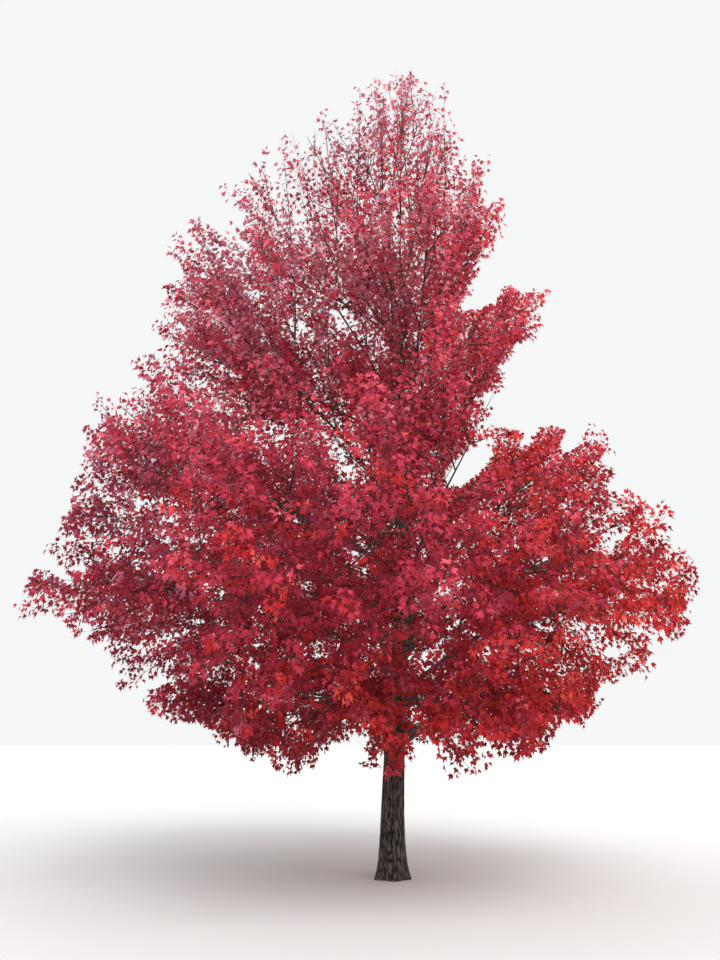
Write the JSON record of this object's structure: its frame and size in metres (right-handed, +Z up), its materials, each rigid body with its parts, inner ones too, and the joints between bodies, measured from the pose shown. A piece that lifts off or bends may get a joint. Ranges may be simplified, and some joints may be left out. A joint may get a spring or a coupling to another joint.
{
  "type": "red maple tree",
  "caption": "Broad deciduous tree in red autumn leaf: a tapering trunk with a root flare, rising boughs and an open-topped crown, cut flat at the ground so it stands in a scene.",
  "frame": {"origin": "middle of the flat cut through the trunk at ground level", "axes": "+Z up along the trunk; +X to the right and +Y away for someone who faces the front of the tree; the upper crown leans towards -X"},
  "size_m": [8.634, 8.8938, 12.0127],
  "materials": {
    "bark": "rough furrowed grey-brown bark",
    "foliage": "satin autumn leaves, crimson to scarlet"
  },
  "bodies": {
    "root": {"trunk": "bark", "bough_shoulder_1": "bark", "bough_shoulder_2": "bark", "bough_shoulder_3": "bark", "bough_shoulder_4": "bark", "bough_shoulder_5": "bark", "bough_shoulder_6": "bark", "bough_skirt_1": "bark", "bough_skirt_2": "bark", "bough_skirt_3": "bark", "bough_skirt_4": "bark", "bough_skirt_5": "bark", "bough_skirt_6": "bark", "bough_upper_1": "bark", "bough_upper_2": "bark", "bough_upper_3": "bark", "bough_upper_4": "bark", "bough_upper_5": "bark", "bough_wide_1": "bark", "bough_wide_2": "bark", "bough_wide_3": "bark", "bough_wide_4": "bark", "bough_wide_5": "bark", "bough_wide_6": "bark", "bough_wide_7": "bark", "foliage_crest_1": "foliage", "foliage_crest_2": "foliage", "foliage_high_1": "foliage", "foliage_high_2": "foliage", "foliage_high_3": "foliage", "foliage_high_4": "foliage", "foliage_high_5": "foliage", "foliage_leader": "foliage", "foliage_shoulder_1": "foliage", "foliage_shoulder_2": "foliage", "foliage_shoulder_3": "foliage", "foliage_shoulder_4": "foliage", "foliage_shoulder_5": "foliage", "foliage_shoulder_6": "foliage", "foliage_skirt_1": "foliage", "foliage_skirt_2": "foliage", "foliage_skirt_3": "foliage", "foliage_skirt_4": "foliage", "foliage_skirt_5": "foliage", "foliage_skirt_6": "foliage", "foliage_upper_1": "foliage", "foliage_upper_2": "foliage", "foliage_upper_3": "foliage", "foliage_upper_4": "foliage", "foliage_upper_5": "foliage", "foliage_wide_1": "foliage", "foliage_wide_2": "foliage", "foliage_wide_3": "foliage", "foliage_wide_4": "foliage", "foliage_wide_5": "foliage", "foliage_wide_6": "foliage", "foliage_wide_7": "foliage"}
  },
  "joints": []
}
